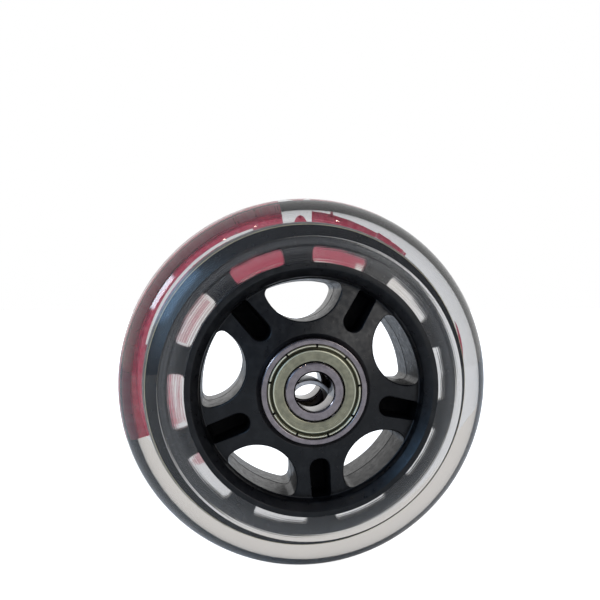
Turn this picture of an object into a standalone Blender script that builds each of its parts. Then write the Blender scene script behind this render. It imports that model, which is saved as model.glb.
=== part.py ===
"""Clear-tyred caster wheel on two shielded ball bearings, with a loose axle spacer.

The wheel's axle runs along Y and its centre is the origin. The front bearing faces -Y.
The spacer tube lies on the floor of the hub's bore, as it does with no axle through it.
"""
import math

import bmesh
import bpy
from mathutils import Matrix, Vector

MM = 0.001

# Driving dimensions, in millimetres.
TYRE_RADIUS = 40.0
TYRE_HALF_WIDTH = 11.6
TYRE_CREASE_RADIUS = 31.2       # where the turned side face meets the cast tread
TREAD_CENTRE_RADIUS = 20.0      # centre of the ellipse that the tread follows
TREAD_POINTS = 5
CAST_GAP = 0.3                  # between the hub and the tyre cast round it

HUB_PHASE = 95.0                # angle of the first spoke hole, degrees from +X towards +Z
SPOKES = 5
LIP_Y = 11.7
LIP_OUTER_RADIUS = 26.05
LIP_INNER_RADIUS = 24.9
DISH_RADIUS = 23.05             # foot of the rim's wall
DISH_Y = 8.0
BOSS_RADIUS = 11.8
BOSS_Y = 10.4
BOSS_CHAMFER = 0.5
BEARING_SEAT_GAP = 0.15
CAVITY_RADIUS = 9.0             # bore between the two bearing seats
HOLE_RIM_RADIUS = 22.65
HOLE_ARC_RADIUS = 8.05
HOLE_ARC_CENTRE = 22.6
HOLE_CORNER = 1.3
HOLE_DRAFT = 0.25               # the holes widen by this much from the middle to the dish
SLOT_WIDTH = 3.9
SLOT_INNER_RADIUS = 14.4
SLOT_OUTER_RADIUS = 22.85
SLOT_FLOOR_Y = 2.2
FLANGE_RADIUS = 32.4            # anchor flange inside the tyre
FLANGE_HALF_WIDTH = 1.5
WINDOWS = 10
WINDOW_INNER_RADIUS = 26.25
WINDOW_OUTER_RADIUS = 29.7
WINDOW_HALF_ANGLE = 11.8
WINDOW_CORNER = 1.0

BEARING_OUTER_RADIUS = 11.0     # 22 x 8 x 7 mm deep-groove ball bearing
BEARING_BORE_RADIUS = 4.0
BEARING_WIDTH = 7.0
BEARING_CHAMFER = 0.3
BEARING_FACE_Y = 12.0
BALLS = 7
BALL_RADIUS = 1.9845
PITCH_RADIUS = 7.5
GROOVE_RADIUS = 2.06
INNER_LAND_RADIUS = 6.0
OUTER_LAND_RADIUS = 8.95
SHIELD_SEAT_RADIUS = 9.75
SHIELD_SEAT_DEPTH = 0.65
SHIELD_OUTER_RADIUS = 9.6
SHIELD_INNER_RADIUS = 6.3
SHIELD_STEP_RADIUS = 8.6
SHIELD_STEP_WIDTH = 0.25
SHIELD_THICKNESS = 0.25
SHIELD_RECESS = 0.2
CAGE_INNER_RADIUS = 6.75
CAGE_OUTER_RADIUS = 8.25
CAGE_POCKET_RADIUS = 2.3
CAGE_THICKNESS = 0.3
CAGE_HALF_GAP = 0.15
CAGE_POCKET_STEPS = 4
CAGE_CUT_REACH = 1.5            # how far the rivet holes' cutters pass through the cage
RIVET_RADIUS = 0.3
RIVET_HOLE_RADIUS = 0.42
RIVET_HEAD_RADIUS = 0.52
RIVET_HEAD_Y = (0.55, 0.8)

SPACER_OUTER_RADIUS = 5.2
SPACER_BORE_RADIUS = 4.25
SPACER_HALF_LENGTH = 4.7
SPACER_CHAMFER = 0.2
SPACER_REST_Z = -3.6            # lying on the floor of the bore

CUT_MARGIN = 1.0                # how far a cutter passes the surface that it opens
WHEEL_SEGMENTS = 48
BEARING_SEGMENTS = 30
SPACER_SEGMENTS = 24
RIVET_SEGMENTS = 6
SIDES = (("front", -1.0), ("rear", 1.0))


def clear_scene():
    for item in list(bpy.data.objects):
        bpy.data.objects.remove(item, do_unlink=True)


def make_material(name, colour, roughness, metallic=0.0, transmission=0.0):
    material = bpy.data.materials.new(name)
    material.use_nodes = True
    shader = material.node_tree.nodes["Principled BSDF"]
    shader.inputs["Base Color"].default_value = (*colour, 1.0)
    shader.inputs["Roughness"].default_value = roughness
    shader.inputs["Metallic"].default_value = metallic
    shader.inputs["Transmission Weight"].default_value = transmission
    return material


def add_object(name, shape, material=None):
    """Turn a bmesh made in millimetres into an object in metres."""
    bmesh.ops.remove_doubles(shape, verts=shape.verts, dist=1e-5)
    bmesh.ops.recalc_face_normals(shape, faces=shape.faces)
    bmesh.ops.scale(shape, vec=(MM, MM, MM), verts=shape.verts)
    mesh = bpy.data.meshes.new(name)
    shape.to_mesh(mesh)
    shape.free()
    mesh.shade_smooth()
    mesh.set_sharp_from_angle(angle=math.radians(30.0))
    item = bpy.data.objects.new(name, mesh)
    bpy.context.scene.collection.objects.link(item)
    if material is not None:
        mesh.materials.append(material)
    return item


def turn(outline, segments, closed=True):
    """Turn (radius, y) points about the Y axis. An open outline starts and ends on the axis."""
    shape = bmesh.new()
    points = [shape.verts.new((radius, y, 0.0)) for radius, y in outline]
    ends = points[1:] + points[:1] if closed else points[1:]
    edges = [shape.edges.new(pair) for pair in zip(points, ends)]
    bmesh.ops.spin(
        shape, geom=points + edges, cent=(0.0, 0.0, 0.0), axis=(0.0, 1.0, 0.0),
        angle=math.tau, steps=segments, use_merge=True, use_duplicate=False)
    return shape


def mirrored(outline):
    """Complete an outline given for y <= 0 with its mirror image in the XZ plane."""
    back = [(radius, -y) for radius, y in reversed(outline) if abs(y) > 1e-9]
    return outline + back


def polar(radius, degrees):
    angle = math.radians(degrees)
    return Vector((radius * math.cos(angle), radius * math.sin(angle)))


def add_prism(shape, sections):
    """Loft a closed solid through (outline, y) sections; outlines are (x, z) points."""
    rings = [[shape.verts.new((x, y, z)) for x, z in outline] for outline, y in sections]
    for low, high in zip(rings, rings[1:]):
        for i in range(len(low)):
            j = (i + 1) % len(low)
            shape.faces.new((low[i], low[j], high[j], high[i]))
    shape.faces.new(rings[0])
    shape.faces.new(list(reversed(rings[-1])))


def cut(item, cutter):
    cutter.hide_render = True
    cutter.display_type = "WIRE"
    modifier = item.modifiers.new(cutter.name, "BOOLEAN")
    modifier.operation = "DIFFERENCE"
    modifier.solver = "EXACT"
    modifier.object = cutter


def arc(centre, radius, start, end, steps):
    """Points on an arc, angles in radians."""
    angles = [start + (end - start) * i / steps for i in range(steps + 1)]
    return [centre + radius * Vector((math.cos(a), math.sin(a))) for a in angles]


def spoke_hole_outline(phase, grow):
    """A round opening cut off by the rim, with rounded corners."""
    outer = HOLE_RIM_RADIUS + grow
    inner = HOLE_ARC_RADIUS + grow
    reach = outer - HOLE_CORNER
    swing = inner - HOLE_CORNER
    along = (reach ** 2 - swing ** 2 + HOLE_ARC_CENTRE ** 2) / (2.0 * HOLE_ARC_CENTRE)
    across = math.sqrt(reach ** 2 - along ** 2)
    corner = Vector((along, across))
    rim_angle = math.atan2(across, along)
    side = corner - Vector((HOLE_ARC_CENTRE, 0.0))
    side_angle = math.atan2(side.y, side.x)
    centre = Vector((HOLE_ARC_CENTRE, 0.0))
    lower = Vector((along, -across))
    points = arc(Vector((0.0, 0.0)), outer, -rim_angle, rim_angle, 5)
    points += arc(corner, HOLE_CORNER, rim_angle, side_angle, 3)[1:]
    points += arc(centre, inner, side_angle, math.tau - side_angle, 10)[1:]
    points += arc(lower, HOLE_CORNER, math.tau - side_angle, math.tau - rim_angle, 3)[1:-1]
    turned = Matrix.Rotation(math.radians(phase), 2)
    return [turned @ point for point in points]


def slot_outline(phase):
    """A slot along a spoke: round at the hub end, square at the rim end."""
    half = SLOT_WIDTH / 2.0
    centre = Vector((SLOT_INNER_RADIUS + half, 0.0))
    points = arc(centre, half, math.pi / 2.0, 1.5 * math.pi, 6)
    points += [Vector((SLOT_OUTER_RADIUS, -half)), Vector((SLOT_OUTER_RADIUS, half))]
    turned = Matrix.Rotation(math.radians(phase), 2)
    return [turned @ point for point in points]


def window_outline(phase, inset):
    """A rounded window bent round the hub, drawn flat at its middle radius."""
    middle = (WINDOW_INNER_RADIUS + WINDOW_OUTER_RADIUS) / 2.0
    half_height = (WINDOW_OUTER_RADIUS - WINDOW_INNER_RADIUS) / 2.0 - inset
    half_length = middle * math.radians(WINDOW_HALF_ANGLE) - inset
    corner = WINDOW_CORNER - inset / 2.0
    flat = []
    for quarter, (side, end) in enumerate(((1, 1), (1, -1), (-1, -1), (-1, 1))):
        centre = Vector((side * (half_height - corner), end * (half_length - corner)))
        start = math.pi / 2.0 * (1 - quarter)
        flat += arc(centre, corner, start, start - math.pi / 2.0, 2)
        if quarter in (0, 2):
            flat.append(Vector((side * half_height, 0.0)))
    return [polar(middle + u, phase + math.degrees(v / middle)) for u, v in flat]


def make_hub(material):
    seat_radius = BEARING_OUTER_RADIUS + BEARING_SEAT_GAP
    shoulder_y = BEARING_FACE_Y - BEARING_WIDTH - BEARING_SEAT_GAP
    profile = [
        (CAVITY_RADIUS, -shoulder_y),
        (seat_radius, -shoulder_y),
        (seat_radius, -(BOSS_Y - BOSS_CHAMFER)),
        (BOSS_RADIUS, -BOSS_Y),
        (DISH_RADIUS, -DISH_Y),
        (LIP_INNER_RADIUS, -LIP_Y),
        (LIP_OUTER_RADIUS, -LIP_Y),
        (LIP_OUTER_RADIUS, -FLANGE_HALF_WIDTH),
        (FLANGE_RADIUS, -FLANGE_HALF_WIDTH),
    ]
    hub = add_object("hub", turn(mirrored(profile), WHEEL_SEGMENTS), material)
    reach = BEARING_FACE_Y + CUT_MARGIN

    holes = bmesh.new()
    slots = bmesh.new()
    pitch = 360.0 / SPOKES
    for index in range(SPOKES):
        phase = HUB_PHASE + pitch * index
        wide = spoke_hole_outline(phase, HOLE_DRAFT * reach / DISH_Y)
        waist = spoke_hole_outline(phase, 0.0)
        add_prism(holes, ((wide, -reach), (waist, 0.0), (wide, reach)))
        outline = slot_outline(phase + pitch / 2.0)
        for side in (-1.0, 1.0):
            ends = sorted((side * SLOT_FLOOR_Y, side * reach))
            add_prism(slots, ((outline, ends[0]), (outline, ends[1])))
    cut(hub, add_object("hub_hole_cutter", holes))
    cut(hub, add_object("hub_slot_cutter", slots))

    windows = bmesh.new()
    for index in range(WINDOWS):
        phase = HUB_PHASE + 360.0 / WINDOWS * (index + 0.5)
        outline = window_outline(phase, 0.0)
        half = 2.0 * FLANGE_HALF_WIDTH
        add_prism(windows, ((outline, -half), (outline, half)))
    cut(hub, add_object("hub_window_cutter", windows))


def make_tyre(material):
    """The tyre fills the windows of the hub's flange, so it can't come off."""
    reach = TYRE_RADIUS - TREAD_CENTRE_RADIUS
    crease = (TYRE_CREASE_RADIUS - TREAD_CENTRE_RADIUS) / reach
    depth = TYRE_HALF_WIDTH / math.sqrt(1.0 - crease ** 2)
    start = math.asin(crease)
    bore = LIP_OUTER_RADIUS + CAST_GAP
    profile = [(bore, -TYRE_HALF_WIDTH)]
    for step in range(TREAD_POINTS + 1):
        angle = start + (math.pi / 2.0 - start) * step / TREAD_POINTS
        profile.append((TREAD_CENTRE_RADIUS + reach * math.sin(angle), -depth * math.cos(angle)))
    profile[-1] = (TYRE_RADIUS, 0.0)
    tyre = add_object("tyre", turn(mirrored(profile), WHEEL_SEGMENTS), material)

    groove_half = FLANGE_HALF_WIDTH + CAST_GAP
    groove_outline = [
        (bore - CUT_MARGIN, -groove_half), (FLANGE_RADIUS + CAST_GAP, -groove_half),
        (FLANGE_RADIUS + CAST_GAP, groove_half), (bore - CUT_MARGIN, groove_half)]
    groove = add_object("tyre_groove_cutter", turn(groove_outline, WHEEL_SEGMENTS))
    plugs = bmesh.new()
    for index in range(WINDOWS):
        phase = HUB_PHASE + 360.0 / WINDOWS * (index + 0.5)
        outline = window_outline(phase, CAST_GAP)
        add_prism(plugs, ((outline, -2.0 * groove_half), (outline, 2.0 * groove_half)))
    cut(groove, add_object("tyre_plug_cutter", plugs))
    cut(tyre, groove)


def raceway(land_radius, sign, steps=3):
    """Half of a ball groove from its shoulder to its middle; sign is +1 on the outer ring."""
    rise = sign * (land_radius - PITCH_RADIUS)
    shoulder = math.acos(rise / GROOVE_RADIUS)
    angles = [shoulder * (1.0 - step / steps) for step in range(steps + 1)]
    return [(PITCH_RADIUS + sign * GROOVE_RADIUS * math.cos(angle),
             -GROOVE_RADIUS * math.sin(angle)) for angle in angles]


def ring_outline(points, centre_y):
    return [(radius, y + centre_y) for radius, y in mirrored(points)]


def shield_outline(centre_y, side):
    """A pressed shield: crimped rim, step, then the flat plate round the inner ring."""
    face = centre_y + side * (BEARING_WIDTH / 2.0 - SHIELD_RECESS)
    back = face - side * SHIELD_THICKNESS
    plate = face - side * SHIELD_THICKNESS / 2.0
    plate_back = plate - side * SHIELD_THICKNESS
    step = SHIELD_STEP_RADIUS
    rim = SHIELD_STEP_RADIUS + SHIELD_STEP_WIDTH
    return [
        (SHIELD_INNER_RADIUS, plate), (step, plate), (rim, face), (SHIELD_OUTER_RADIUS, face),
        (SHIELD_OUTER_RADIUS, back), (rim, back), (step, plate_back),
        (SHIELD_INNER_RADIUS, plate_back)]


def cage_half(side, centre_y):
    """Half of a ribbon cage: spherical pockets joined by flats, pressed from one sheet."""
    shape = bmesh.new()
    pitch = math.tau / BALLS
    pocket = math.sqrt(CAGE_POCKET_RADIUS ** 2 - CAGE_HALF_GAP ** 2)
    shell = CAGE_POCKET_RADIUS + CAGE_THICKNESS
    stations = [pocket * math.sin(math.pi * (step / CAGE_POCKET_STEPS - 0.5))
                for step in range(CAGE_POCKET_STEPS + 1)]
    stations.append(shell)
    stations.append(pitch * PITCH_RADIUS - shell)
    rings = []
    for ball in range(BALLS):
        for station in stations:
            beside = min(station, pitch * PITCH_RADIUS - station) if station > 0.0 else -station
            inside = math.sqrt(max(CAGE_POCKET_RADIUS ** 2 - beside ** 2, 0.0))
            outside = math.sqrt(max(shell ** 2 - beside ** 2, 0.0))
            low = max(inside, CAGE_HALF_GAP)
            high = max(outside, CAGE_HALF_GAP + CAGE_THICKNESS)
            angle = ball * pitch + station / PITCH_RADIUS
            direction = Vector((math.cos(angle), 0.0, math.sin(angle)))
            corners = ((CAGE_INNER_RADIUS, low), (CAGE_OUTER_RADIUS, low),
                       (CAGE_OUTER_RADIUS, high), (CAGE_INNER_RADIUS, high))
            rings.append([shape.verts.new(direction * radius
                                          + Vector((0.0, centre_y + side * y, 0.0)))
                          for radius, y in corners])
    for ring, following in zip(rings, rings[1:] + rings[:1]):
        for i in range(4):
            j = (i + 1) % 4
            shape.faces.new((ring[i], ring[j], following[j], following[i]))
    return shape


def rivet_outline(centre_y):
    low, high = RIVET_HEAD_Y
    half = [(0.0, -high), (RIVET_HEAD_RADIUS, -high), (RIVET_HEAD_RADIUS, -low),
            (RIVET_RADIUS, -low)]
    return [(radius, y + centre_y) for radius, y in mirrored(half)]


def place(item, location):
    """Set an object's origin on its joint's axis, keeping the mesh where it is."""
    item.data.transform(Matrix.Translation(-Vector(location)))
    item.location = location


def make_bearing(name, side, materials):
    centre_y = side * (BEARING_FACE_Y - BEARING_WIDTH / 2.0)
    half = BEARING_WIDTH / 2.0
    seat = half - SHIELD_SEAT_DEPTH
    outer = [(BEARING_OUTER_RADIUS, -half + BEARING_CHAMFER),
             (BEARING_OUTER_RADIUS - BEARING_CHAMFER, -half),
             (SHIELD_SEAT_RADIUS, -half), (SHIELD_SEAT_RADIUS, -seat),
             (OUTER_LAND_RADIUS, -seat)] + raceway(OUTER_LAND_RADIUS, 1.0)
    inner = [(BEARING_BORE_RADIUS, -half + BEARING_CHAMFER),
             (BEARING_BORE_RADIUS + BEARING_CHAMFER, -half),
             (INNER_LAND_RADIUS, -half)] + raceway(INNER_LAND_RADIUS, -1.0)
    for part, outline in (("outer_ring", outer), ("inner_ring", inner)):
        solid = turn(ring_outline(outline, centre_y), BEARING_SEGMENTS)
        ring = add_object(f"{name}_{part}", solid, materials["steel"])
        place(ring, (0.0, centre_y * MM, 0.0))

    for part, face in (("outside_shield", side), ("inside_shield", -side)):
        solid = turn(shield_outline(centre_y, face), BEARING_SEGMENTS)
        shield = add_object(f"{name}_{part}", solid, materials["zinc"])
        place(shield, (0.0, centre_y * MM, 0.0))

    cage_holes = bmesh.new()
    pitch = 360.0 / BALLS
    for index in range(BALLS):
        centre = polar(PITCH_RADIUS, pitch * index)
        ball = bmesh.new()
        bmesh.ops.create_uvsphere(ball, u_segments=12, v_segments=6, radius=BALL_RADIUS)
        bmesh.ops.translate(ball, verts=ball.verts, vec=(centre.x, centre_y, centre.y))
        item = add_object(f"{name}_ball_{index + 1}", ball, materials["ball"])
        place(item, (centre.x * MM, centre_y * MM, centre.y * MM))

        spot = polar(PITCH_RADIUS, pitch * (index + 0.5))
        rivet = turn(rivet_outline(centre_y), RIVET_SEGMENTS, closed=False)
        bmesh.ops.translate(rivet, verts=rivet.verts, vec=(spot.x, 0.0, spot.y))
        item = add_object(f"{name}_rivet_{index + 1}", rivet, materials["steel"])
        place(item, (0.0, centre_y * MM, 0.0))

        ring = [spot + RIVET_HOLE_RADIUS * polar(1.0, 360.0 / RIVET_SEGMENTS * corner)
                for corner in range(RIVET_SEGMENTS)]
        add_prism(cage_holes, ((ring, centre_y - CAGE_CUT_REACH),
                               (ring, centre_y + CAGE_CUT_REACH)))

    cutter = add_object(f"{name}_rivet_cutter", cage_holes)
    for part, face in (("outside_cage", side), ("inside_cage", -side)):
        item = add_object(f"{name}_{part}", cage_half(face, centre_y), materials["steel"])
        cut(item, cutter)


def make_spacer(material):
    half = SPACER_HALF_LENGTH
    outline = [(SPACER_BORE_RADIUS, -half + SPACER_CHAMFER),
               (SPACER_BORE_RADIUS + SPACER_CHAMFER, -half),
               (SPACER_OUTER_RADIUS - SPACER_CHAMFER, -half),
               (SPACER_OUTER_RADIUS, -half + SPACER_CHAMFER)]
    spacer = add_object("spacer", turn(mirrored(outline), SPACER_SEGMENTS), material)
    spacer.location = (0.0, 0.0, SPACER_REST_Z * MM)
    return spacer


def main():
    clear_scene()
    urethane = make_material("clear_urethane", (0.86, 0.85, 0.82), 0.08, transmission=1.0)
    plastic = make_material("black_plastic", (0.02, 0.02, 0.022), 0.35)
    materials = {
        "steel": make_material("bearing_steel", (0.55, 0.52, 0.53), 0.25, metallic=1.0),
        "zinc": make_material("zinc_plate", (0.62, 0.61, 0.48), 0.35, metallic=1.0),
        "ball": make_material("ball_steel", (0.7, 0.7, 0.72), 0.08, metallic=1.0),
    }
    make_tyre(urethane)
    make_hub(plastic)
    make_spacer(make_material("spacer_aluminium", (0.7, 0.7, 0.7), 0.3, metallic=1.0))
    for name, side in SIDES:
        make_bearing(name, side, materials)


main()
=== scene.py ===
"""Looks of a clear-tyred caster wheel on two shielded ball bearings.

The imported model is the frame: +Y is the axle, the front bearing faces -Y, and the origin is
the wheel's centre. Shapes here are worked out in millimetres and made in metres.
"""
import math

import bmesh
import bpy
import mathutils.noise
from mathutils import Matrix, Vector


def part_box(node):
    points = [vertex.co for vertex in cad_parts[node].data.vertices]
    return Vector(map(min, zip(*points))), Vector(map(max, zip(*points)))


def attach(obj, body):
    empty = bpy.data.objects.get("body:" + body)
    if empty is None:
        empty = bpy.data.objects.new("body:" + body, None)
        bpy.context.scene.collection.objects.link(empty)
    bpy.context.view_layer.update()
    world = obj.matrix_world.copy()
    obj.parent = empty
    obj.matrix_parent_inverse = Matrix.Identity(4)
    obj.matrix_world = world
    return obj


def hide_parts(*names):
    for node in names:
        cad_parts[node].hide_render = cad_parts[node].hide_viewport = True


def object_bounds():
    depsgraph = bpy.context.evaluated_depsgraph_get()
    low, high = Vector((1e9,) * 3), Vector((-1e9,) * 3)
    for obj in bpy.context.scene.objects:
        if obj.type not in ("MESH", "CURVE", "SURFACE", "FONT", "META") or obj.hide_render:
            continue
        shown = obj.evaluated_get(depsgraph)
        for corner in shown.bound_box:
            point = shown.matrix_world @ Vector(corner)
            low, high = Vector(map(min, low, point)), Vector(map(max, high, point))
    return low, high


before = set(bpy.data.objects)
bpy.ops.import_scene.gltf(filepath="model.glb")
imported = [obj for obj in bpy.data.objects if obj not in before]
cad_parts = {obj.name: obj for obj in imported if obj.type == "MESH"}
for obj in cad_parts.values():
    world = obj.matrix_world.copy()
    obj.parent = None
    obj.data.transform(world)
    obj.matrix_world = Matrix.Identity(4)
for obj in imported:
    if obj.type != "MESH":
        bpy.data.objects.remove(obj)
cad_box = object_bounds()

MM = 0.001


def largest(node, axis):
    """How far a CAD node reaches along an axis, in millimetres."""
    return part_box(node)[1]["xyz".index(axis)] / MM


# Sizes read from the frame, in millimetres.
TYRE_RADIUS = largest("tyre", "x")
TYRE_HALF_WIDTH = largest("tyre", "y")
LIP_Y = largest("hub", "y")
FLANGE_RADIUS = largest("hub", "x")
BEARING_RADIUS = largest("rear_outer_ring", "x")
BEARING_FACE_Y = largest("rear_outer_ring", "y")
SPACER_RADIUS = largest("spacer", "x")
SPACER_HALF_LENGTH = largest("spacer", "y")
SPACER_Z = largest("spacer", "z") - SPACER_RADIUS

# Sizes that the frame's boxes don't give, in millimetres, with angles in degrees.

# Tyre: the crease is where the flat side face meets the tread. Fine rings are turned into
# the side face, as geometry (depth and step) and as relief in the material (groove).
CREASE_RADIUS = 31.2
TREAD_CENTRE_RADIUS = 20.0
TREAD_STEPS = 40
TYRE_BORE_INSET = 0.5
TYRE_BORE_CHAMFER = 0.6
TURNED_DEPTH_MM = 0.005
TURNED_STEP_MM = 0.045
TURNED_GROOVE_MM = 0.003
TURNED_SEGMENTS = 240

# Hub: a lip at the tyre, a dish inside it, and a boss round the bearings.
LIP_OUTER_RADIUS = 26.05
LIP_INNER_RADIUS = 24.9
DISH_RADIUS = 23.05
DISH_Y = 8.0
DISH_BEND = 0.3
BOSS_RADIUS = 11.8
BOSS_Y = 10.4
BOSS_CHAMFER = 0.35
BEARING_GAP = 0.05
CAVITY_RADIUS = 9.0
HUB_PHASE = 95.0
SPOKES = 5
HOLE_RIM_RADIUS = 22.65
HOLE_ARC_RADIUS = 8.05
HOLE_ARC_CENTRE = 22.6
HOLE_CORNER = 1.3
HOLE_DRAFT = 0.3
HOLE_EDGE = 0.35
HOLE_FLASH = 0.06
SLOT_WIDTH = 3.9
SLOT_INNER_RADIUS = 14.4
SLOT_FLOOR_Y = 2.2
SLOT_EDGE = 0.3
SLOT_CORNER = 0.35
SLOT_RIM_GAP = 0.15
SLOT_DRAFT = 0.1
FLANGE_HALF_WIDTH = 1.5
WINDOWS = 10
WINDOW_INNER_RADIUS = 26.25
WINDOW_OUTER_RADIUS = 29.7
WINDOW_HALF_ANGLE = 11.8
WINDOW_CORNER = 1.0

# A cutter's mouth stands above the face and sweeps down to the wall.
MOUTH_FLARE = 1.4
MOUTH_HEIGHT = 3.0
MOUTH_SWEEP = 75.0

# Bearings, their shields and the spacer. Each side is a name and the sign of y.
SIDES = (("front", -1.0), ("rear", 1.0))
BEARING_WIDTH = 7.0
BEARING_BORE_RADIUS = 4.0
BEARING_SEGMENTS = 180
BALLS_CIRCLE_RADIUS = 7.5
GROOVE_RADIUS = 2.06
GROOVE_STEPS = 12
INNER_LAND_RADIUS = 6.0
OUTER_LAND_RADIUS = 8.95
SHIELD_SEAT_RADIUS = 9.75
SHIELD_SEAT_DEPTH = 1.0
SHIELD_BORE_RADIUS = 6.3
SHIELD_THICKNESS = 0.22
SHIELD_LEAN = 0.3
SHIELD_SEGMENTS = 720
CRIMP_SLITS = 9
CRIMP_SLIT_PHASE = 87.0
CRIMP_SLIT_RADIUS = 9.03
CRIMP_SLIT_DEPTH = 0.3
CRIMP_SLIT_HALF_ANGLE = 1.1
SPACER_BORE_RADIUS = 4.25
SPACER_SEGMENTS = 120

# Meshes: points closer than this are one, and edges bent more than this are sharp.
MERGE_MM = 0.002
SHARP_ANGLE = 28.0

# Ink on the tyre's rear: start and end angle, inner and outer radius, raggedness and shape.
# A flat strip has square ends, a domed one a round top, and a sunk one lies in the skin.
PRINT_STRIPS = (
    (97.0, 198.5, 30.76, 32.5, 0.02, "flat"),
    (97.0, 108.0, 30.46, 30.75, 0.0, "flat"),
    (166.0, 198.5, 30.46, 30.75, 0.0, "flat"),
    (97.0, 134.0, 26.2, 30.45, 0.02, "flat"),
    (134.2, 198.5, 29.85, 30.45, 0.02, "flat"),
    (86.75, 94.6, 27.6, 31.5, 0.0, "domed"),
    (63.0, 86.7, 28.95, 31.93, 0.02, "flat"),
    (66.0, 86.7, 27.1, 28.9, 0.1, "flat"),
    (50.5, 62.9, 31.42, 32.1, 0.06, "flat"),
    (79.2, 80.6, 31.7, 32.15, 0.0, "domed"),
    (5.0, 21.0, 32.6, 32.84, 0.05, "domed"))
SUNK_STRIPS = ((97.0, 198.5, 31.49, 32.7, 0.0, "sunk"),)
FADED_STRIPS = (
    (139.0, 161.0, 27.3, 28.6, 0.25, "flat"),
    (138.0, 161.0, 29.2, 29.8, 0.25, "flat"),
    (175.0, 197.0, 27.4, 28.3, 0.25, "flat"),
    (175.0, 197.0, 29.0, 29.8, 0.25, "flat"),
    (212.0, 218.0, 27.6, 30.4, 0.2, "domed"),
    (268.0, 290.0, 29.3, 29.9, 0.2, "domed"))
PRINT_STEP_DEGREES = 0.4
PRINT_STEP_MM = 0.3
PRINT_GAP = 0.012
PRINT_THICKNESS = 0.008
SUNK_INK_ANGLE = 135.0
SUNK_INK_BOW = 0.0002

# Share of light that the urethane lets through where it isn't hazy.
CLEAR_SHARE = 0.985

# How brightly the floor glows seen directly, otherwise, and in reflections.
FLOOR_SEEN = 0.95
FLOOR_GLOW = 0.42
FLOOR_DIM = 0.05
FLOOR_HALF_WIDTH_M = 3.0

# Direction of each light as (centre, half width) along x, y and z, soft edge, colour, strength.
LIGHTS = (
    # tall window at the left
    ((-0.83, 0.17), (0.04, 0.07), (0.52, 0.09), 0.03, (0.74, 0.88, 1.0), 14.0),
    # two bluish patches in front, at the left
    ((-0.67, 0.1), (-0.55, 0.1), (0.4, 0.12), 0.3, (0.45, 0.7, 1.0), 1.7),
    ((-0.78, 0.12), (-0.35, 0.1), (0.51, 0.12), 0.1, (0.32, 0.6, 1.0), 3.2),
    # white patch in front, at the right
    ((0.42, 0.12), (-0.87, 0.1), (0.26, 0.12), 0.1, (1.0, 0.98, 0.95), 4.0),
    # three tiny warm lamps overhead
    ((-0.24, 0.006), (-0.13, 0.006), (0.96, 0.05), 0.005, (1.0, 0.85, 0.65), 70.0),
    ((0.3, 0.006), (-0.12, 0.006), (0.94, 0.05), 0.005, (1.0, 0.85, 0.65), 70.0),
    ((-0.45, 0.006), (-0.12, 0.006), (0.88, 0.05), 0.005, (1.0, 0.8, 0.6), 60.0))

# The photograph's view. Place, lens and sensor are in millimetres and the clip is in metres.
# Right and up are the picture's axes.
CAMERA_PLACE = (-19.47, -143.46, 18.89)
CAMERA_RIGHT = (0.98809, -0.15389, 0.0)
CAMERA_UP = (0.01425, 0.09151, 0.9957)
CAMERA_LENS = 39.87
CAMERA_SENSOR = 36.0
CAMERA_SHIFT = (-0.0333, 0.1)
CAMERA_CLIP = (0.005, 20.0)


# ---------------------------------------------------------------- mesh helpers

def add_piece(name, mesh_source, material, body, stands_for=()):
    """A finished piece from a closed bmesh in millimetres, faces outward, on its body."""
    bmesh.ops.recalc_face_normals(mesh_source, faces=mesh_source.faces)
    if mesh_source.calc_volume(signed=True) < 0.0:
        bmesh.ops.reverse_faces(mesh_source, faces=mesh_source.faces)
    mesh = bpy.data.meshes.new(name)
    mesh_source.to_mesh(mesh)
    mesh_source.free()
    mesh.transform(Matrix.Scale(MM, 4))
    mesh.shade_smooth()
    mesh.set_sharp_from_angle(angle=math.radians(SHARP_ANGLE))
    mesh.materials.clear()
    mesh.materials.append(material)
    piece = bpy.data.objects.new(name, mesh)
    bpy.context.scene.collection.objects.link(piece)
    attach(piece, body)
    if stands_for:
        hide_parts(*stands_for)
    return piece


def rounded(corners, steps=5):
    """Points of a closed outline given as (x, y, fillet radius) corners."""
    points = []
    count = len(corners)
    for index, (x, y, fillet) in enumerate(corners):
        corner = Vector((x, y))
        if fillet <= 0.0:
            points.append(corner)
            continue
        before = Vector(corners[index - 1][:2]) - corner
        after = Vector(corners[(index + 1) % count][:2]) - corner
        half = before.angle(after) / 2.0
        reach = min(fillet / math.tan(half), 0.48 * before.length, 0.48 * after.length)
        radius = reach * math.tan(half)
        before.normalize()
        after.normalize()
        centre = corner + (before + after).normalized() * (radius / math.sin(half))
        start = corner + before * reach - centre
        end = corner + after * reach - centre
        sweep = math.atan2(start.cross(end), start.dot(end))
        for step in range(steps + 1):
            points.append(centre + Matrix.Rotation(sweep * step / steps, 2) @ start)
    return points


def lathe(outline, segments, centre=(0.0, 0.0)):
    """Turn a closed outline of (radius, y) points round the Y axis."""
    shape = bmesh.new()
    rings = []
    for index in range(segments):
        angle = math.tau * index / segments
        cosine = math.cos(angle)
        sine = math.sin(angle)
        rings.append([
            shape.verts.new((p[0] * cosine + centre[0], p[1], p[0] * sine + centre[1]))
            for p in outline])
    count = len(outline)
    for ring, following in zip(rings, rings[1:] + rings[:1]):
        for i in range(count):
            j = (i + 1) % count
            shape.faces.new((ring[i], ring[j], following[j], following[i]))
    return shape


def loft(shape, sections):
    """A closed solid through rings of the same number of points."""
    rings = [[shape.verts.new(point) for point in section] for section in sections]
    for low, high in zip(rings, rings[1:]):
        for i in range(len(low)):
            j = (i + 1) % len(low)
            shape.faces.new((low[i], low[j], high[j], high[i]))
    shape.faces.new(rings[0])
    shape.faces.new(list(reversed(rings[-1])))


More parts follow.
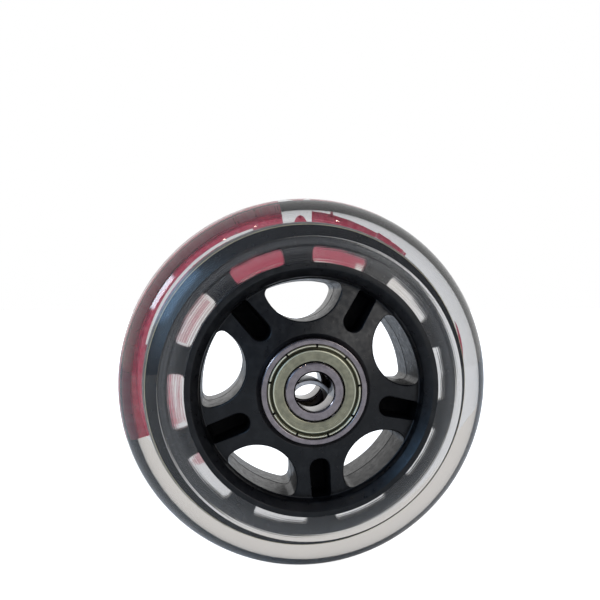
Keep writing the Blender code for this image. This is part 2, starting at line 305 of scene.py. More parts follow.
def solid_of(shape):
    """A temporary object from a bmesh in millimetres."""
    bmesh.ops.recalc_face_normals(shape, faces=shape.faces)
    mesh = bpy.data.meshes.new("working_solid")
    shape.to_mesh(mesh)
    shape.free()
    item = bpy.data.objects.new("working_solid", mesh)
    bpy.context.scene.collection.objects.link(item)
    return item


def carve(body_shape, cutter_shapes):
    """The body less its cutters, as a new bmesh."""
    body = solid_of(body_shape)
    cutters = [solid_of(shape) for shape in cutter_shapes]
    for cutter in cutters:
        modifier = body.modifiers.new("cut", "BOOLEAN")
        modifier.operation = "DIFFERENCE"
        modifier.solver = "EXACT"
        modifier.object = cutter
    depsgraph = bpy.context.evaluated_depsgraph_get()
    result = bmesh.new()
    result.from_mesh(body.evaluated_get(depsgraph).data)
    bmesh.ops.remove_doubles(result, verts=result.verts, dist=MERGE_MM)
    for item in [body] + cutters:
        bpy.data.objects.remove(item, do_unlink=True)
    return result


# ---------------------------------------------------------------- material helpers

def new_material(name):
    """A new material with its nodes, links and Principled shader."""
    material = bpy.data.materials.new(name)
    material.use_nodes = True
    nodes = material.node_tree.nodes
    return material, nodes, material.node_tree.links, nodes["Principled BSDF"]


def maths(nodes, links, operation, first, second=0.0, third=0.0):
    """A Math node's output; each input is a socket or a number."""
    node = nodes.new("ShaderNodeMath")
    node.operation = operation
    for socket, value in zip(node.inputs, (first, second, third)):
        if isinstance(value, (int, float)):
            socket.default_value = value
        else:
            links.new(value, socket)
    return node.outputs["Value"]


def eased(nodes, links, value, low, high, to_low=0.0, to_high=1.0):
    """A smooth step from to_low to to_high as value goes from low to high."""
    node = nodes.new("ShaderNodeMapRange")
    node.interpolation_type = "SMOOTHSTEP"
    links.new(value, node.inputs["Value"])
    for name, number in (("From Min", low), ("From Max", high),
                         ("To Min", to_low), ("To Max", to_high)):
        node.inputs[name].default_value = number
    return node.outputs["Result"]


def near(nodes, links, value, centre, half, soft):
    """1 within half of the centre, falling to 0 over the soft width."""
    away = maths(nodes, links, "ABSOLUTE", maths(nodes, links, "SUBTRACT", value, centre))
    return eased(nodes, links, away, half, half + soft, 1.0, 0.0)


def mixed(nodes, links, share, first, second):
    """A colour mix; each colour is a socket or a tuple."""
    node = nodes.new("ShaderNodeMix")
    node.data_type = "RGBA"
    links.new(share, node.inputs["Factor"])
    for name, colour in (("A", first), ("B", second)):
        socket = [i for i in node.inputs if i.name == name and i.type == "RGBA"][0]
        if isinstance(colour, tuple):
            socket.default_value = (*colour, 1.0)
        else:
            links.new(colour, socket)
    return [o for o in node.outputs if o.type == "RGBA"][0]


def object_place(nodes):
    """The surface point in the piece's own frame, in metres."""
    return nodes.new("ShaderNodeTexCoord").outputs["Object"]


def noise(nodes, links, grain_mm, detail=3.0, place=None):
    """Noise whose coarsest grain is about grain_mm across."""
    node = nodes.new("ShaderNodeTexNoise")
    node.inputs["Scale"].default_value = 1.0 / (grain_mm * MM)
    node.inputs["Detail"].default_value = detail
    links.new(place or object_place(nodes), node.inputs["Vector"])
    return node.outputs["Fac"]


def polar_coordinates(nodes, links):
    """Sockets for the distance from the axle in metres, the angle and |y|."""
    split = nodes.new("ShaderNodeSeparateXYZ")
    links.new(object_place(nodes), split.inputs["Vector"])
    x, y, z = split.outputs["X"], split.outputs["Y"], split.outputs["Z"]
    square = maths(nodes, links, "ADD", maths(nodes, links, "MULTIPLY", x, x),
                   maths(nodes, links, "MULTIPLY", z, z))
    radius = maths(nodes, links, "SQRT", square)
    angle = maths(nodes, links, "ARCTAN2", z, x)
    return radius, angle, maths(nodes, links, "ABSOLUTE", y)


def turned_noise(nodes, links, pitch_mm, detail=3.0):
    """Noise drawn out round the axle, as a lathe tool leaves it."""
    radius, angle, depth = polar_coordinates(nodes, links)
    place = nodes.new("ShaderNodeCombineXYZ")
    links.new(radius, place.inputs["X"])
    drift = maths(nodes, links, "MULTIPLY", maths(nodes, links, "SINE", angle), 0.0002)
    links.new(drift, place.inputs["Y"])
    links.new(depth, place.inputs["Z"])
    return noise(nodes, links, pitch_mm, detail, place.outputs["Vector"])


def bumped(nodes, links, shader, height, distance_mm, below=None):
    """Relief on the shader's normal, on top of the relief below."""
    bump = nodes.new("ShaderNodeBump")
    bump.inputs["Strength"].default_value = 1.0
    bump.inputs["Distance"].default_value = distance_mm * MM
    links.new(height, bump.inputs["Height"])
    if below:
        links.new(below, bump.inputs["Normal"])
    links.new(bump.outputs["Normal"], shader.inputs["Normal"])
    return bump.outputs["Normal"]


# ---------------------------------------------------------------- materials

def urethane_material():
    """Clear cast urethane: glossy tread, turned side faces, faint smudges and haze."""
    material, nodes, links, shader = new_material("clear_urethane")
    shader.inputs["IOR"].default_value = 1.49
    radius, _, depth = polar_coordinates(nodes, links)
    on_side = eased(nodes, links, depth,
                    (TYRE_HALF_WIDTH - 0.06) * MM, (TYRE_HALF_WIDTH - 0.02) * MM)
    cloud = noise(nodes, links, 9.0, 2.0)
    tint = mixed(nodes, links, cloud, (0.66, 0.63, 0.6), (0.59, 0.565, 0.54))
    links.new(tint, shader.inputs["Base Color"])
    smudge = eased(nodes, links, noise(nodes, links, 3.0, 5.0), 0.45, 0.75, 0.008, 0.05)
    matt = maths(nodes, links, "MULTIPLY", on_side, 0.12)
    links.new(maths(nodes, links, "ADD", smudge, matt), shader.inputs["Roughness"])
    rings = eased(nodes, links, turned_noise(nodes, links, 1.1, 2.0), 0.42, 0.58, 0.0, 2.2)
    haze = eased(nodes, links, radius, LIP_OUTER_RADIUS * MM, CREASE_RADIUS * MM, 0.004, 0.045)
    haze = maths(nodes, links, "MULTIPLY", haze, rings)
    haze = maths(nodes, links, "MULTIPLY", on_side, haze)
    links.new(maths(nodes, links, "SUBTRACT", CLEAR_SHARE, haze),
              shader.inputs["Transmission Weight"])
    grooves = maths(nodes, links, "MULTIPLY", turned_noise(nodes, links, 0.5, 3.0), on_side)
    turned = bumped(nodes, links, shader, grooves, TURNED_GROOVE_MM)
    bumped(nodes, links, shader, noise(nodes, links, 4.0, 1.0), 0.012, turned)
    return material


def hub_material():
    """Black moulded plastic, satin, with a thin cream painted highlight along the flange's outer
    rim.
    """
    material, nodes, links, shader = new_material("black_hub_plastic")
    shader.inputs["Specular IOR Level"].default_value = 0.32
    radius, _, depth = polar_coordinates(nodes, links)
    haze = eased(nodes, links, noise(nodes, links, 2.2, 6.0), 0.42, 0.72)
    plastic = mixed(nodes, links, haze, (0.002, 0.002, 0.0026), (0.008, 0.008, 0.0085))
    # Painted highlight: a thin cream line at the flange's outer rim, colour standing in for light
    # caught at that edge.
    at_rim = eased(nodes, links, radius,
                   (FLANGE_RADIUS - 0.14) * MM, (FLANGE_RADIUS - 0.07) * MM)
    at_corner = eased(nodes, links, depth, 1.2 * MM, 1.3 * MM)
    painted_edge_highlight = maths(nodes, links, "MULTIPLY", at_rim, at_corner)
    colour = mixed(nodes, links, painted_edge_highlight, plastic, (0.75, 0.68, 0.45))
    links.new(colour, shader.inputs["Base Color"])
    gloss = eased(nodes, links, noise(nodes, links, 1.1, 4.0), 0.3, 0.75, 0.27, 0.42)
    links.new(gloss, shader.inputs["Roughness"])
    grain = bumped(nodes, links, shader, noise(nodes, links, 0.12, 2.0), 0.006)
    bumped(nodes, links, shader, noise(nodes, links, 1.6, 3.0), 0.03, grain)
    return material


def slot_shade_material():
    """The plastic down in the blind slots: dull, and painted near black as the shade in them."""
    material, nodes, links, shader = new_material("painted_shade_in_slots")
    shader.inputs["Specular IOR Level"].default_value = 0.1
    speckle = noise(nodes, links, 0.8, 5.0)
    # Painted shade: colour far darker than the hub plastic, standing in for the shade down in the
    # slots.
    colour = mixed(nodes, links, speckle, (0.0012, 0.0012, 0.0014), (0.003, 0.003, 0.0034))
    links.new(colour, shader.inputs["Base Color"])
    links.new(eased(nodes, links, speckle, 0.3, 0.7, 0.6, 0.8), shader.inputs["Roughness"])
    bumped(nodes, links, shader, noise(nodes, links, 0.2, 3.0), 0.01)
    return material


def metal_material(name, light, dark, roughness, pitch_mm, groove_mm, rings=()):
    """Turned or ground metal: two tones in blotches, lathe lines and uneven gloss.

    rings are (radius, half width, colour): dark rings are painted shade in channels and bores,
    pale ones painted highlights on ridges."""
    material, nodes, links, shader = new_material(name)
    shader.inputs["Metallic"].default_value = 1.0
    lines = turned_noise(nodes, links, pitch_mm)
    blotches = eased(nodes, links, noise(nodes, links, 1.2, 5.0), 0.35, 0.7)
    share = maths(nodes, links, "ADD", maths(nodes, links, "MULTIPLY", lines, 0.6),
                  maths(nodes, links, "MULTIPLY", blotches, 0.5))
    colour = mixed(nodes, links, share, light, dark)
    # Painted shade and painted highlights, laid on as rings of colour by radius.
    if rings:
        radius = polar_coordinates(nodes, links)[0]
        for ring_radius, half_width, painted_tone in rings:
            on_painted_ring = near(nodes, links, radius, ring_radius * MM, half_width * MM, 0.1 * MM)
            colour = mixed(nodes, links, on_painted_ring, colour, painted_tone)
    links.new(colour, shader.inputs["Base Color"])
    scatter = maths(nodes, links, "MULTIPLY", lines, 0.22)
    links.new(maths(nodes, links, "ADD", scatter, roughness - 0.11), shader.inputs["Roughness"])
    bumped(nodes, links, shader, lines, groove_mm)
    return material


def print_material(name, strong, weak, cover, clear=0.75):
    """Worn ink: streaks and pinholes let the tyre show through."""
    material, nodes, links, shader = new_material(name)
    shader.inputs["Roughness"].default_value = 0.6
    shader.inputs["Transmission Weight"].default_value = clear
    wear = eased(nodes, links, noise(nodes, links, 0.9, 6.0), 0.35, 0.7)
    links.new(mixed(nodes, links, wear, strong, weak), shader.inputs["Base Color"])
    pinholes = noise(nodes, links, 0.5, 7.0)
    links.new(eased(nodes, links, pinholes, 0.62, 0.72, cover, 0.35 * cover),
              shader.inputs["Alpha"])
    bumped(nodes, links, shader, noise(nodes, links, 0.3, 4.0), 0.01)
    return material


urethane = urethane_material()
hub_plastic = hub_material()
slot_shade_plastic = slot_shade_material()
# Steel: the dark ring at the bore is painted shade on the bore wall.
steel = metal_material(
    "ground_bearing_steel", light=(0.34, 0.295, 0.3), dark=(0.2, 0.172, 0.176),
    roughness=0.15, pitch_mm=0.12, groove_mm=0.001,
    rings=((BEARING_BORE_RADIUS, 0.06, (0.11, 0.1, 0.098)),))
# Zinc: the dark ring at 8.82 mm is painted shade in the channel; the pale rings at 9.33 and 8.36
# mm are painted highlights on the crimped rim and the channel's inner ridge.
zinc = metal_material(
    "zinc_plated_shield", light=(0.35, 0.335, 0.235), dark=(0.2, 0.19, 0.135),
    roughness=0.3, pitch_mm=0.3, groove_mm=0.002,
    rings=((8.82, 0.14, (0.05, 0.048, 0.03)), (9.33, 0.08, (0.75, 0.72, 0.55)),
           (8.36, 0.07, (0.7, 0.68, 0.5))))
# Painted shade: a near-black metal for the crimp slits' faces, where the slits stand in shadow.
slit_shade_metal = metal_material(
    "painted_slit_shade", light=(0.03, 0.028, 0.022), dark=(0.012, 0.011, 0.01),
    roughness=0.6, pitch_mm=0.3, groove_mm=0.002)
ball_steel = metal_material(
    "polished_ball_steel", light=(0.55, 0.55, 0.56), dark=(0.4, 0.4, 0.42),
    roughness=0.16, pitch_mm=0.4, groove_mm=0.0005)
cage_steel = metal_material(
    "pressed_cage_steel", light=(0.42, 0.4, 0.38), dark=(0.26, 0.24, 0.22),
    roughness=0.38, pitch_mm=0.25, groove_mm=0.003)
aluminium = metal_material(
    "turned_aluminium", light=(0.66, 0.66, 0.67), dark=(0.48, 0.48, 0.5),
    roughness=0.34, pitch_mm=0.16, groove_mm=0.003)
sunk_print = print_material("sunk_red_print", strong=(0.95, 0.16, 0.26),
                            weak=(0.95, 0.25, 0.34), cover=1.0, clear=0.0)
red_print = print_material("worn_red_print", strong=(0.85, 0.11, 0.2),
                           weak=(0.95, 0.24, 0.34), cover=0.95)
pink_print = print_material("faded_pink_print", strong=(0.9, 0.25, 0.33),
                            weak=(0.95, 0.5, 0.52), cover=0.6)


# ---------------------------------------------------------------- tyre

def tread_half_width(radius):
    """|y| of the tread's surface at a radius beyond the crease."""
    reach = TYRE_RADIUS - TREAD_CENTRE_RADIUS
    crease = (CREASE_RADIUS - TREAD_CENTRE_RADIUS) / reach
    depth = TYRE_HALF_WIDTH / math.sqrt(1.0 - crease ** 2)
    out = min((radius - TREAD_CENTRE_RADIUS) / reach, 1.0)
    return depth * math.sqrt(1.0 - out ** 2)


def turned_depth(radius):
    """Depth of the lathe's grooves in the tyre's side face, uneven like the real ones.

    Two pitches, 0.37 and 0.23 mm, beat together and swell every 1.9 mm."""
    wave = math.sin(math.tau * radius / 0.37) + 0.7 * math.sin(math.tau * radius / 0.23 + 1.0)
    slow = math.sin(math.tau * radius / 1.9 + 0.5)
    return TURNED_DEPTH_MM * (1.9 + wave) * (0.75 + 0.25 * slow)


def tyre_outline():
    """The tyre's section: bore, grooved side face and bullet-shaped tread, then their mirror."""
    bore = LIP_OUTER_RADIUS - TYRE_BORE_INSET
    reach = TYRE_RADIUS - TREAD_CENTRE_RADIUS
    start = math.asin((CREASE_RADIUS - TREAD_CENTRE_RADIUS) / reach)
    half = [Vector((bore, -TYRE_HALF_WIDTH + TYRE_BORE_CHAMFER)),
            Vector((LIP_OUTER_RADIUS, -TYRE_HALF_WIDTH))]
    width = CREASE_RADIUS - LIP_OUTER_RADIUS
    steps = int(width / TURNED_STEP_MM)
    for step in range(1, steps):
        radius = LIP_OUTER_RADIUS + width * step / steps
        half.append(Vector((radius, -TYRE_HALF_WIDTH + turned_depth(radius))))
    for step in range(TREAD_STEPS):
        angle = start + (math.pi / 2.0 - start) * step / TREAD_STEPS
        radius = TREAD_CENTRE_RADIUS + reach * math.sin(angle)
        half.append(Vector((radius, -tread_half_width(radius))))
    tip = [Vector((TYRE_RADIUS, 0.0))]
    return half + tip + [Vector((p[0], -p[1])) for p in reversed(half)]


def make_tyre():
    add_piece("urethane_tyre", lathe(tyre_outline(), TURNED_SEGMENTS), urethane,
              "wheel", ["tyre"])


# ---------------------------------------------------------------- hub

def face_y(radius):
    """|y| of the spokes' and boss's cone."""
    share = (DISH_RADIUS - radius) / (DISH_RADIUS - BOSS_RADIUS)
    return DISH_Y + (BOSS_Y - DISH_Y) * share


def arc(centre, radius, start, end, steps):
    """(point, outward normal) pairs on an arc, angles in radians."""
    pairs = []
    for step in range(steps + 1):
        angle = start + (end - start) * step / steps
        normal = Vector((math.cos(angle), math.sin(angle)))
        pairs.append((centre + radius * normal, normal))
    return pairs


def spoke_hole_pairs():
    """Points and normals of a spoke hole on the X axis, at the waist."""
    reach = HOLE_RIM_RADIUS - HOLE_CORNER
    swing = HOLE_ARC_RADIUS - HOLE_CORNER
    along = (reach ** 2 - swing ** 2 + HOLE_ARC_CENTRE ** 2) / (2.0 * HOLE_ARC_CENTRE)
    across = math.sqrt(reach ** 2 - along ** 2)
    centre = Vector((HOLE_ARC_CENTRE, 0.0))
    rim_angle = math.atan2(across, along)
    side_angle = math.atan2(across, along - HOLE_ARC_CENTRE)
    pairs = arc(Vector((0.0, 0.0)), HOLE_RIM_RADIUS, -rim_angle, rim_angle, 24)
    pairs += arc(Vector((along, across)), HOLE_CORNER, rim_angle, side_angle, 10)[1:]
    pairs += arc(centre, HOLE_ARC_RADIUS, side_angle, math.tau - side_angle, 48)[1:]
    pairs += arc(Vector((along, -across)), HOLE_CORNER,
                 math.tau - side_angle, math.tau - rim_angle, 10)[1:-1]
    return pairs


def mouth_profile(edge, steps):
    """(growth, depth) pairs of a cutter's rounded mouth, from above the face to its wall."""
    profile = [(MOUTH_FLARE * edge, -MOUTH_HEIGHT)]
    for step in range(steps + 1):
        angle = math.radians(MOUTH_SWEEP * (1.0 - step / steps))
        profile.append((edge * (1.0 - math.cos(angle)), edge * (1.0 - math.sin(angle))))
    return profile


def rim_share(point, reach, width):
    """0 inside the dish, rising to 1 near its rim, where a mouth isn't rounded."""
    return min(max((point.length - DISH_RADIUS + reach) / width, 0.0), 1.0)


def hole_sections(phase):
    """A spoke hole's rings from the front to the back, rounded where they meet the face.

    The walls draft towards the waist, where a thin flash of plastic is left."""
    pairs = spoke_hole_pairs()
    turned = Matrix.Rotation(math.radians(phase), 2)
    sections = []
    for grow, depth in mouth_profile(HOLE_EDGE, 4):
        ring = []
        for point, normal in pairs:
            at_rim = rim_share(point, 2.2, 1.6)
            base = face_y(min(point.length, DISH_RADIUS))
            draft = HOLE_DRAFT * max(base - depth, 0.0) / BOSS_Y
            moved = turned @ (point + normal * (draft + grow * (1.0 - at_rim)))
            ring.append(Vector((moved.x, -(base - depth), moved.y)))
        sections.append(ring)
    for height in (0.25, 0.12, 0.0):
        grow = HOLE_DRAFT * height / BOSS_Y - (HOLE_FLASH if height == 0.0 else 0.0)
        ring = []
        for point, normal in pairs:
            moved = turned @ (point + normal * grow)
            ring.append(Vector((moved.x, -height, moved.y)))
        sections.append(ring)
    back = [[Vector((p.x, -p.y, p.z)) for p in ring] for ring in reversed(sections[:-1])]
    return sections + back


def slot_pairs():
    """Points and normals of a blind slot on the X axis, round at its inner end."""
    half = SLOT_WIDTH / 2.0
    inner = Vector((SLOT_INNER_RADIUS + half, 0.0))
    reach = DISH_RADIUS - SLOT_RIM_GAP - SLOT_CORNER
    pairs = arc(Vector((reach, -half + SLOT_CORNER)), SLOT_CORNER, -math.pi / 2.0, 0.0, 4)
    pairs += arc(Vector((reach, half - SLOT_CORNER)), SLOT_CORNER, 0.0, math.pi / 2.0, 4)
    pairs += arc(inner, half, math.pi / 2.0, 1.5 * math.pi, 20)
    return pairs


def slot_sections(phase, side):
    """A blind slot's rings from its rounded mouth down to its floor, on one side."""
    pairs = slot_pairs()
    turned = Matrix.Rotation(math.radians(phase), 2)
    sections = []
    for grow, depth in mouth_profile(SLOT_EDGE, 3):
        ring = []
        for point, normal in pairs:
            at_rim = rim_share(point, 1.2, 1.0)
            base = face_y(min(point.length, DISH_RADIUS))
            moved = turned @ (point + normal * (grow * (1.0 - at_rim) + SLOT_DRAFT))
            ring.append(Vector((moved.x, side * (base - depth), moved.y)))
        sections.append(ring)
    for shrink, depth in ((0.1, SLOT_FLOOR_Y + 0.3), (0.4, SLOT_FLOOR_Y)):
        ring = []
        for point, normal in pairs:
            moved = turned @ (point - normal * shrink)
            ring.append(Vector((moved.x, side * depth, moved.y)))
        sections.append(ring)
    return sections


def window_section(phase, y):
    """A flange window's outline, a rounded rectangle bent round the axle."""
    middle = (WINDOW_INNER_RADIUS + WINDOW_OUTER_RADIUS) / 2.0
    height = (WINDOW_OUTER_RADIUS - WINDOW_INNER_RADIUS) / 2.0
    length = middle * math.radians(WINDOW_HALF_ANGLE)
    corners = [(height, length, WINDOW_CORNER), (height, 0.0, 0.0),
               (height, -length, WINDOW_CORNER), (-height, -length, WINDOW_CORNER),
               (-height, 0.0, 0.0), (-height, length, WINDOW_CORNER)]
    ring = []
    for point in rounded(corners, 6):
        angle = math.radians(phase) + point.y / middle
        radius = middle + point.x
        ring.append(Vector((radius * math.cos(angle), y, radius * math.sin(angle))))
    return ring


def hub_outline():
    """The hub's section before it is cut: cavity, bearing seat, boss, dish, lip and flange."""
    seat = BEARING_RADIUS + BEARING_GAP
    shoulder = BEARING_FACE_Y - BEARING_WIDTH
    half = [
        (CAVITY_RADIUS, -shoulder, 0.2), (seat, -shoulder, 0.0),
        (seat, -(BOSS_Y - BOSS_CHAMFER), 0.0), (BOSS_RADIUS, -BOSS_Y, 0.25),
        (DISH_RADIUS, -DISH_Y, 0.3), (DISH_RADIUS + DISH_BEND, -(LIP_Y + DISH_Y) / 2.0, 0.9),
        (LIP_INNER_RADIUS, -LIP_Y, 0.3), (LIP_OUTER_RADIUS, -LIP_Y, 0.12),
        (LIP_OUTER_RADIUS, -FLANGE_HALF_WIDTH, 0.3), (FLANGE_RADIUS, -FLANGE_HALF_WIDTH, 0.25)]
    return rounded(half + [(x, -y, fillet) for x, y, fillet in reversed(half)])


def in_slot(place):
    """True down in one of the blind slots; place is in millimetres."""
    pitch = 360.0 / SPOKES
    radius = place.xz.length
    angle = math.degrees(math.atan2(place.z, place.x)) - HUB_PHASE
    across = radius * math.sin(math.radians(angle % pitch - pitch / 2.0))
    return (abs(across) < SLOT_WIDTH / 2.0 + 0.05
            and SLOT_INNER_RADIUS - 0.1 < radius < DISH_RADIUS
            and abs(place.y) < DISH_Y - 0.5)


def make_hub():
    body = lathe(hub_outline(), TURNED_SEGMENTS)
    holes = bmesh.new()
    slots = bmesh.new()
    windows = bmesh.new()
    pitch = 360.0 / SPOKES
    for index in range(SPOKES):
        phase = HUB_PHASE + pitch * index
        loft(holes, hole_sections(phase))
        for side in (-1.0, 1.0):
            loft(slots, slot_sections(phase + pitch / 2.0, side))
    reach = 2.0 * FLANGE_HALF_WIDTH
    for index in range(WINDOWS):
        phase = HUB_PHASE + 360.0 / WINDOWS * (index + 0.5)
        loft(windows, [window_section(phase, y) for y in (-reach, reach)])
    hub = add_piece("moulded_hub", carve(body, [holes, slots, windows]), hub_plastic,
                    "wheel", ["hub"])
    # The faces down in the slots take the painted-shade plastic, darker than the hub.
    hub.data.materials.append(slot_shade_plastic)
    for polygon in hub.data.polygons:
        if in_slot(polygon.center / MM):
            polygon.material_index = 1


# ---------------------------------------------------------------- bearings and spacer

def groove(land, outward):
    """Ball groove across a ring's land, from -y to +y."""
    half = math.sqrt(GROOVE_RADIUS ** 2 - (land - BALLS_CIRCLE_RADIUS) ** 2)
    end = math.asin(half / GROOVE_RADIUS)
    points = []
    for step in range(GROOVE_STEPS + 1):
        angle = end * (2.0 * step / GROOVE_STEPS - 1.0)
        points.append((BALLS_CIRCLE_RADIUS + outward * GROOVE_RADIUS * math.cos(angle),
                       GROOVE_RADIUS * math.sin(angle), 0.0))
    return points


def shield_section():
    """(radius, depth below the bearing's face) along a shield: crimped rim, channel, plate."""
    return [(9.6, 0.5), (9.56, 0.32), (9.4, 0.2), (9.22, 0.2), (9.08, 0.34), (9.0, 0.58),
            (8.86, 0.68), (8.68, 0.66), (8.56, 0.46), (8.46, 0.28), (8.3, 0.22), (8.1, 0.25),
            (7.2, 0.25), (6.5, 0.26), (SHIELD_BORE_RADIUS, 0.3)]


def in_slit(place):
    """True in one of the crimped rim's slits; place is in millimetres."""
    pitch = 360.0 / CRIMP_SLITS
    angle = math.degrees(math.atan2(place.z, place.x)) - CRIMP_SLIT_PHASE
    from_slit = abs((angle + pitch / 2.0) % pitch - pitch / 2.0)
    return from_slit < CRIMP_SLIT_HALF_ANGLE and place.xz.length > CRIMP_SLIT_RADIUS


def make_shield(name, node, centre, side):
    """A pressed shield for the bearing centred at y = centre, facing the given side."""
    front = []
    back = []
    section = shield_section()
    for index, (radius, depth) in enumerate(section):
        before = Vector(section[max(index - 1, 0)])
        after = Vector(section[min(index + 1, len(section) - 1)])
        along = (after - before).normalized()
        inward = Vector((along.y, -along.x)) * SHIELD_THICKNESS
        front.append((radius, depth))
        back.append((radius - inward.x * SHIELD_LEAN, depth + abs(inward.y)))
    outline = [Vector((r, centre + side * (BEARING_WIDTH / 2.0 - d)))
               for r, d in front + list(reversed(back))]
    shape = lathe(outline, SHIELD_SEGMENTS)
    for vertex in shape.verts:
        if in_slit(vertex.co):
            vertex.co.y -= side * CRIMP_SLIT_DEPTH
    shield = add_piece(name, shape, zinc, "wheel", [node])
    # The slits' faces take the painted slit shade.
    shield.data.materials.append(slit_shade_metal)
    for polygon in shield.data.polygons:
        if in_slit(polygon.center / MM):
            polygon.material_index = 1


def outer_race():
    """An outer ring's section: shield seats either side of the ball groove, and chamfers."""
    half = BEARING_WIDTH / 2.0
    seat = half - SHIELD_SEAT_DEPTH
    corners = [(SHIELD_SEAT_RADIUS, -half, 0.14), (SHIELD_SEAT_RADIUS, -seat, 0.05),
               (OUTER_LAND_RADIUS, -seat, 0.05)]
    corners += groove(OUTER_LAND_RADIUS, 1.0)
    corners += [(OUTER_LAND_RADIUS, seat, 0.05), (SHIELD_SEAT_RADIUS, seat, 0.05),
                (SHIELD_SEAT_RADIUS, half, 0.14), (BEARING_RADIUS - 0.28, half, 0.22),
                (BEARING_RADIUS, half - 0.34, 0.1), (BEARING_RADIUS, 0.34 - half, 0.1),
                (BEARING_RADIUS - 0.28, -half, 0.22)]
    return rounded(corners)


def inner_race():
    """An inner ring's section: chamfered bore, lands and the ball groove."""
    half = BEARING_WIDTH / 2.0
    corners = [(BEARING_BORE_RADIUS + 0.36, half, 0.2),
               (BEARING_BORE_RADIUS, half - 0.45, 0.12),
               (BEARING_BORE_RADIUS, 0.4 - half, 0.06),
               (BEARING_BORE_RADIUS + 0.32, -half, 0.06),
               (INNER_LAND_RADIUS - 0.24, -half, 0.12), (INNER_LAND_RADIUS, 0.26 - half, 0.06)]
    corners += groove(INNER_LAND_RADIUS, -1.0)
    corners += [(INNER_LAND_RADIUS, half - 0.26, 0.06), (INNER_LAND_RADIUS - 0.24, half, 0.12)]
    return rounded(corners)


def make_bearings():
    for name, side in SIDES:
        centre = side * (BEARING_FACE_Y - BEARING_WIDTH / 2.0)
        for piece, outline, body in (("outer", outer_race(), "wheel"),
                                     ("inner", inner_race(), "axle_side")):
            points = [Vector((p.x, p.y + centre)) for p in outline]
            add_piece(f"{name}_{piece}_race", lathe(points, BEARING_SEGMENTS), steel, body,
                      [f"{name}_{piece}_ring"])
        make_shield(f"{name}_crimped_shield", f"{name}_outside_shield", centre, side)
        make_shield(f"{name}_hidden_shield", f"{name}_inside_shield", centre, -side)


def make_spacer():
    half = SPACER_HALF_LENGTH
    tube = rounded([(SPACER_BORE_RADIUS, -half, 0.15), (SPACER_RADIUS, -half, 0.2),
                    (SPACER_RADIUS, half, 0.2), (SPACER_BORE_RADIUS, half, 0.15)])
    add_piece("spacer_tube", lathe(tube, SPACER_SEGMENTS, (0.0, SPACER_Z)), aluminium,
              "spacer", ["spacer"])


def finish_hidden_parts():
    """Balls, cages and rivets stay as the CAD has them, in their own metals."""
    for name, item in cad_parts.items():
        for word, material in (("ball", ball_steel), ("cage", cage_steel), ("rivet", cage_steel)):
            if word in name:
                item.data.materials.clear()
                item.data.materials.append(material)


# ---------------------------------------------------------------- print

def off_rear_surface(angle, radius, gap):
    """A point off the tyre's rear surface; angle in degrees, lengths in millimetres."""
    y = tread_half_width(radius) if radius > CREASE_RADIUS else TYRE_HALF_WIDTH
    turn = math.radians(angle)
    return Vector((radius * math.cos(turn), y + gap, radius * math.sin(turn)))


def uneven(angle, seed, wander):
    """A ragged edge's offset: slow and quick noise along the angle."""
    slow = mathutils.noise.noise(Vector((angle * 1.1, seed, 4.0)))
    quick = mathutils.noise.noise(Vector((angle * 4.0, seed, 9.0)))
    return wander * (slow + 0.6 * quick)


def ribbon(film, start, end, inner, outer, ragged, shape):
    """One closed strip of ink along the rim, with uneven edges.

    A domed strip has a round top. A sunk one lies in the tyre's skin, and its lower edge
    bows outward away from SUNK_INK_ANGLE."""
    columns = max(int((end - start) / PRINT_STEP_DEGREES), 12)
    rows = max(int((outer - inner) / PRINT_STEP_MM), 3)
    layers = []
    near_gap = -PRINT_GAP - PRINT_THICKNESS if shape == "sunk" else PRINT_GAP
    for gap in (near_gap, near_gap + PRINT_THICKNESS):
        grid = []
        for column in range(columns + 1):
            share = column / columns
            angle = start + (end - start) * share
            low = inner + 0.5 * uneven(angle, outer, ragged)
            top = outer + uneven(angle, inner, ragged)
            if shape == "sunk":
                low += SUNK_INK_BOW * (angle - SUNK_INK_ANGLE) ** 2
            if shape == "domed":
                top = low + (outer - low) * math.sqrt(max(1.0 - (2.0 * share - 1.0) ** 2, 0.01))
            radii = [low + (top - low) * row / rows for row in range(rows + 1)]
            grid.append([film.verts.new(off_rear_surface(angle, radius, gap))
                         for radius in radii])
        layers.append(grid)
        for line, following in zip(grid, grid[1:]):
            for row in range(rows):
                film.faces.new((line[row], following[row], following[row + 1], line[row + 1]))
    border = [(column, 0) for column in range(columns)]
    border += [(columns, row) for row in range(rows)]
    border += [(column, rows) for column in range(columns, 0, -1)]
    border += [(0, row) for row in range(rows, 0, -1)]
    near_grid, far_grid = layers
    for here, there in zip(border, border[1:] + border[:1]):
        film.faces.new((near_grid[here[0]][here[1]], near_grid[there[0]][there[1]],
                        far_grid[there[0]][there[1]], far_grid[here[0]][here[1]]))


def make_print():
    """Films of ink on the rear of the tyre: worn strips, a sunk one and faded ones.

    The worn and faded films stand a hair off the surface, so that at steep angles the tyre's
    inner reflection hides them, as it does dry ink. The sunk one lies just under the surface
    and stays in sight."""
    for name, strips, material in (("worn_print", PRINT_STRIPS, red_print),
                                   ("sunk_print", SUNK_STRIPS, sunk_print),
                                   ("faded_print", FADED_STRIPS, pink_print)):
        film = bmesh.new()
        for strip in strips:
            ribbon(film, *strip)
        add_piece(name, film, material, "wheel")


# ---------------------------------------------------------------- stage, light and camera

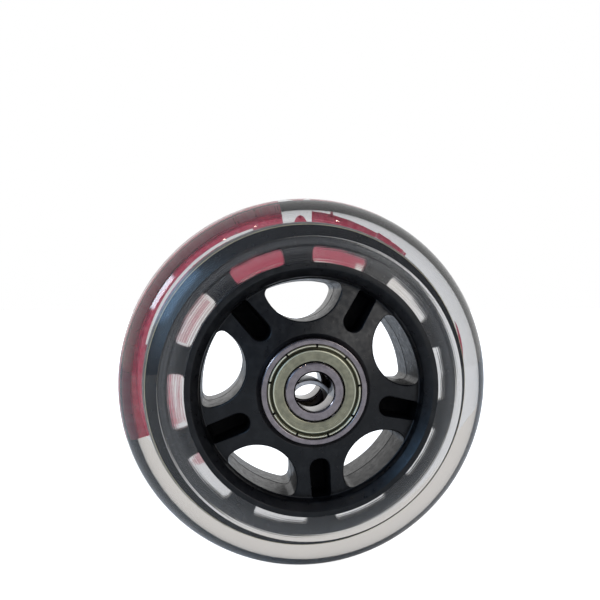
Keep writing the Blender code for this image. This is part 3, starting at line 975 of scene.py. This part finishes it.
def make_stage():
    """A plain pale floor that runs into the backdrop, with a faint contact shadow.

    Its own glow is full where the camera sees it directly, half as bright through the tyre
    and by scattered light, and dim in reflections, so polished faces don't turn white."""
    material, nodes, links, shader = new_material("pale_floor")
    shader.inputs["Base Color"].default_value = (0.82, 0.82, 0.82, 1.0)
    shader.inputs["Roughness"].default_value = 0.9
    shader.inputs["Emission Color"].default_value = (1.0, 1.0, 1.0, 1.0)
    path = nodes.new("ShaderNodeLightPath")
    glow = maths(nodes, links, "MULTIPLY_ADD", path.outputs["Is Camera Ray"],
                 FLOOR_SEEN - FLOOR_GLOW, FLOOR_GLOW)
    glow = maths(nodes, links, "MULTIPLY_ADD", path.outputs["Is Reflection Ray"],
                 FLOOR_DIM - FLOOR_GLOW, glow)
    links.new(glow, shader.inputs["Emission Strength"])
    floor = bmesh.new()
    bmesh.ops.create_grid(floor, x_segments=1, y_segments=1, size=FLOOR_HALF_WIDTH_M)
    mesh = bpy.data.meshes.new("floor")
    floor.to_mesh(mesh)
    floor.free()
    mesh.materials.append(material)
    item = bpy.data.objects.new("floor", mesh)
    item.location = (0.0, 0.0, cad_box[0].z)
    bpy.context.scene.collection.objects.link(item)


def make_world():
    """A studio: white behind the wheel, dim before it and bluish at the left, with LIGHTS.

    The backdrop that the camera sees directly is plain white."""
    world = bpy.data.worlds.new("studio")
    world.use_nodes = True
    bpy.context.scene.world = world
    nodes = world.node_tree.nodes
    links = world.node_tree.links
    split = nodes.new("ShaderNodeSeparateXYZ")
    links.new(nodes.new("ShaderNodeTexCoord").outputs["Generated"], split.inputs["Vector"])
    x, y, z = split.outputs["X"], split.outputs["Y"], split.outputs["Z"]

    behind = eased(nodes, links, y, 0.0, 0.3)
    left = eased(nodes, links, maths(nodes, links, "MULTIPLY", x, -1.0), -0.2, 0.8)
    room = mixed(nodes, links, left, (0.21, 0.23, 0.28), (0.21, 0.29, 0.42))
    room = mixed(nodes, links, behind, room, (1.0, 1.0, 1.0))

    background = nodes["Background"]
    links.new(room, background.inputs["Color"])
    total = background.outputs["Background"]
    for across, along, height, soft, colour, strength in LIGHTS:
        patch = near(nodes, links, x, *across, soft)
        patch = maths(nodes, links, "MULTIPLY", patch, near(nodes, links, y, *along, soft))
        patch = maths(nodes, links, "MULTIPLY", patch, near(nodes, links, z, *height, soft))
        lamp = nodes.new("ShaderNodeBackground")
        lamp.inputs["Color"].default_value = (*colour, 1.0)
        links.new(maths(nodes, links, "MULTIPLY", patch, strength), lamp.inputs["Strength"])
        joined = nodes.new("ShaderNodeAddShader")
        links.new(total, joined.inputs[0])
        links.new(lamp.outputs["Background"], joined.inputs[1])
        total = joined.outputs["Shader"]

    backdrop = nodes.new("ShaderNodeBackground")
    backdrop.inputs["Color"].default_value = (1.0, 1.0, 1.0, 1.0)
    seen = nodes.new("ShaderNodeMixShader")
    links.new(nodes.new("ShaderNodeLightPath").outputs["Is Camera Ray"], seen.inputs["Fac"])
    links.new(total, seen.inputs[1])
    links.new(backdrop.outputs["Background"], seen.inputs[2])
    links.new(seen.outputs["Shader"], nodes["World Output"].inputs["Surface"])


def make_camera():
    """The photograph's view: close in, a little left of the axle and a little above it."""
    camera = bpy.data.cameras.new("camera")
    camera.sensor_width = CAMERA_SENSOR
    camera.lens = CAMERA_LENS
    camera.shift_x, camera.shift_y = CAMERA_SHIFT
    camera.clip_start, camera.clip_end = CAMERA_CLIP
    item = bpy.data.objects.new("camera", camera)
    right = Vector(CAMERA_RIGHT)
    up = Vector(CAMERA_UP)
    back = right.cross(up)
    turn = Matrix([(right[i], up[i], back[i]) for i in range(3)]).to_4x4()
    item.matrix_world = Matrix.Translation(Vector(CAMERA_PLACE) * MM) @ turn
    bpy.context.scene.collection.objects.link(item)
    bpy.context.scene.camera = item


make_tyre()
make_hub()
make_bearings()
make_spacer()
make_print()
finish_hidden_parts()
make_stage()
make_world()
make_camera()
bpy.context.scene.view_settings.view_transform = "Standard"
